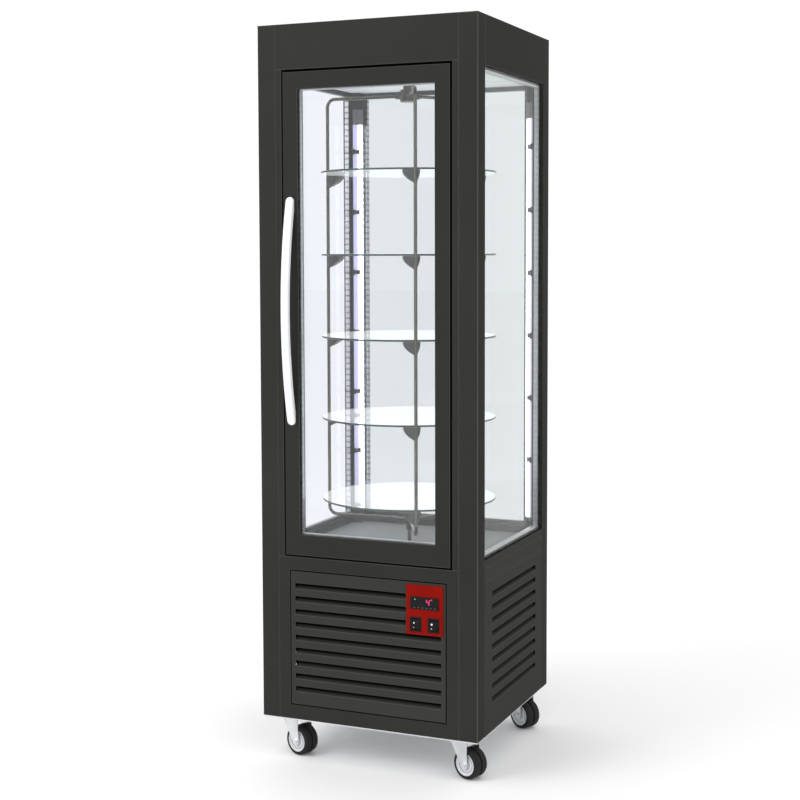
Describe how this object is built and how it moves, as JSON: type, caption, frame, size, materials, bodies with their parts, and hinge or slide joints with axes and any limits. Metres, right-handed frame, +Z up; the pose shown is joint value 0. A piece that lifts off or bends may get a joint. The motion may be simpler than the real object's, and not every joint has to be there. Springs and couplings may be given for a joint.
{
  "type": "revolving glass display cabinet",
  "caption": "Tall refrigerated glass display cabinet on castors: glazed front door with bowed handle, round glass shelves on a revolving rod cage over a louvred machine base.",
  "frame": {"origin": "on the floor under the middle of the overall depth, in the cabinet's left-right mid-plane", "axes": "+X to the right of someone facing the door, +Y to the back, +Z up"},
  "size_m": [0.6021, 0.6, 1.895],
  "materials": {
    "painted_body": "satin dark grey powder coat",
    "painted_door": "satin dark grey powder coat",
    "stainless": "brushed",
    "satin_rod": "satin polished",
    "zinc": "bright zinc plate",
    "white_ceiling": "matt white",
    "clear_glass": "clear float glass",
    "shelf_glass": "clear toughened glass with polished edge",
    "gasket_rubber": "matt black",
    "handle_plastic": "gloss",
    "red_plate": "satin",
    "black_plastic": "gloss",
    "led_diffuser": "opal",
    "cast_metal": "black enamel",
    "fin_metal": "bare",
    "tyre_rubber": "matt black"
  },
  "bodies": {
    "cabinet": {"front_left_post": "painted_body", "front_right_post": "painted_body", "rear_left_post": "painted_body", "rear_right_post": "painted_body", "roof_hood": "painted_body", "chamber_deck": "stainless", "ceiling_panel": "white_ceiling", "front_base_panel": "painted_body", "front_grille": "painted_body", "control_plate": "red_plate", "thermostat_display": "black_plastic", "right_base_panel": "painted_body", "left_base_panel": "painted_body", "rear_base_panel": "painted_body", "cable_gland": "black_plastic", "right_jamb": "painted_body", "left_jamb": "painted_body", "right_glass_unit": "clear_glass", "left_glass_unit": "clear_glass", "rear_glass_unit": "clear_glass", "left_led_bar": "led_diffuser", "right_led_bar": "led_diffuser", "lower_pivot_bracket": "zinc", "upper_pivot_bracket": "zinc", "top_bearing": "stainless", "carousel_gearmotor": "cast_metal", "base_tray": "zinc", "compressor": "cast_metal", "condenser": "fin_metal", "evaporator_coil": "fin_metal"},
    "door": {"hinge_stile": "painted_door", "handle_stile": "painted_door", "top_rail": "painted_door", "bottom_rail": "painted_door", "door_glass_unit": "clear_glass", "door_gasket": "gasket_rubber", "door_handle": "handle_plastic"},
    "light_switch": {"light_switch_rocker": "black_plastic"},
    "power_switch": {"power_switch_rocker": "black_plastic"},
    "carousel": {"carousel_rod_1": "satin_rod", "carousel_rod_2": "satin_rod", "carousel_rod_3": "satin_rod", "upper_hub": "satin_rod", "drive_shaft": "satin_rod", "glass_shelf_1": "shelf_glass", "glass_shelf_2": "shelf_glass", "glass_shelf_3": "shelf_glass", "glass_shelf_4": "shelf_glass", "glass_shelf_5": "shelf_glass"},
    "fan_rotor": {"condenser_fan": "black_plastic"},
    "front_left_castor": {"front_left_castor_fork": "zinc"},
    "front_left_wheel": {"front_left_castor_wheel": "tyre_rubber"},
    "front_right_castor": {"front_right_castor_fork": "zinc"},
    "front_right_wheel": {"front_right_castor_wheel": "tyre_rubber"},
    "rear_left_castor": {"rear_left_castor_fork": "zinc"},
    "rear_left_wheel": {"rear_left_castor_wheel": "tyre_rubber"},
    "rear_right_castor": {"rear_right_castor_fork": "zinc"},
    "rear_right_wheel": {"rear_right_castor_wheel": "tyre_rubber"}
  },
  "joints": [
    {"name": "door_hinge", "type": "hinge", "parent": "cabinet", "child": "door", "pos_m": [0.2195, -0.2515, 1.158], "axis": [0, 0, 1], "range_deg": [0, 110]},
    {"name": "carousel_spin", "type": "hinge", "parent": "cabinet", "child": "carousel", "pos_m": [0, 0.02, 1.1], "axis": [0, 0, 1], "continuous": true},
    {"name": "light_switch_tilt", "type": "hinge", "parent": "cabinet", "child": "light_switch", "pos_m": [0.1355, -0.2555, 0.392], "axis": [1, 0, 0], "range_deg": [0, 9.6]},
    {"name": "power_switch_tilt", "type": "hinge", "parent": "cabinet", "child": "power_switch", "pos_m": [0.1835, -0.2555, 0.392], "axis": [1, 0, 0], "range_deg": [0, 9.6]},
    {"name": "fan_spin", "type": "hinge", "parent": "cabinet", "child": "fan_rotor", "pos_m": [0.02, -0.155, 0.2433], "axis": [0, 1, 0], "continuous": true},
    {"name": "front_left_swivel", "type": "hinge", "parent": "cabinet", "child": "front_left_castor", "pos_m": [-0.237, -0.198, 0.0975], "axis": [0, 0, 1], "continuous": true},
    {"name": "front_left_roll", "type": "hinge", "parent": "front_left_castor", "child": "front_left_wheel", "pos_m": [-0.21309, -0.20531, 0.038], "axis": [0.2924, 0.9563, 0], "continuous": true},
    {"name": "front_right_swivel", "type": "hinge", "parent": "cabinet", "child": "front_right_castor", "pos_m": [0.237, -0.198, 0.0975], "axis": [0, 0, 1], "continuous": true},
    {"name": "front_right_roll", "type": "hinge", "parent": "front_right_castor", "child": "front_right_wheel", "pos_m": [0.26064, -0.20614, 0.038], "axis": [0.3256, 0.9455, 0], "continuous": true},
    {"name": "rear_left_swivel", "type": "hinge", "parent": "cabinet", "child": "rear_left_castor", "pos_m": [-0.237, 0.238, 0.0975], "axis": [0, 0, 1], "continuous": true},
    {"name": "rear_left_roll", "type": "hinge", "parent": "rear_left_castor", "child": "rear_left_wheel", "pos_m": [-0.21382, 0.22864, 0.038], "axis": [0.3746, 0.9272, 0], "continuous": true},
    {"name": "rear_right_swivel", "type": "hinge", "parent": "cabinet", "child": "rear_right_castor", "pos_m": [0.237, 0.238, 0.0975], "axis": [0, 0, 1], "continuous": true},
    {"name": "rear_right_roll", "type": "hinge", "parent": "rear_right_castor", "child": "rear_right_wheel", "pos_m": [0.25927, 0.22665, 0.038], "axis": [0.454, 0.891, 0], "continuous": true}
  ]
}
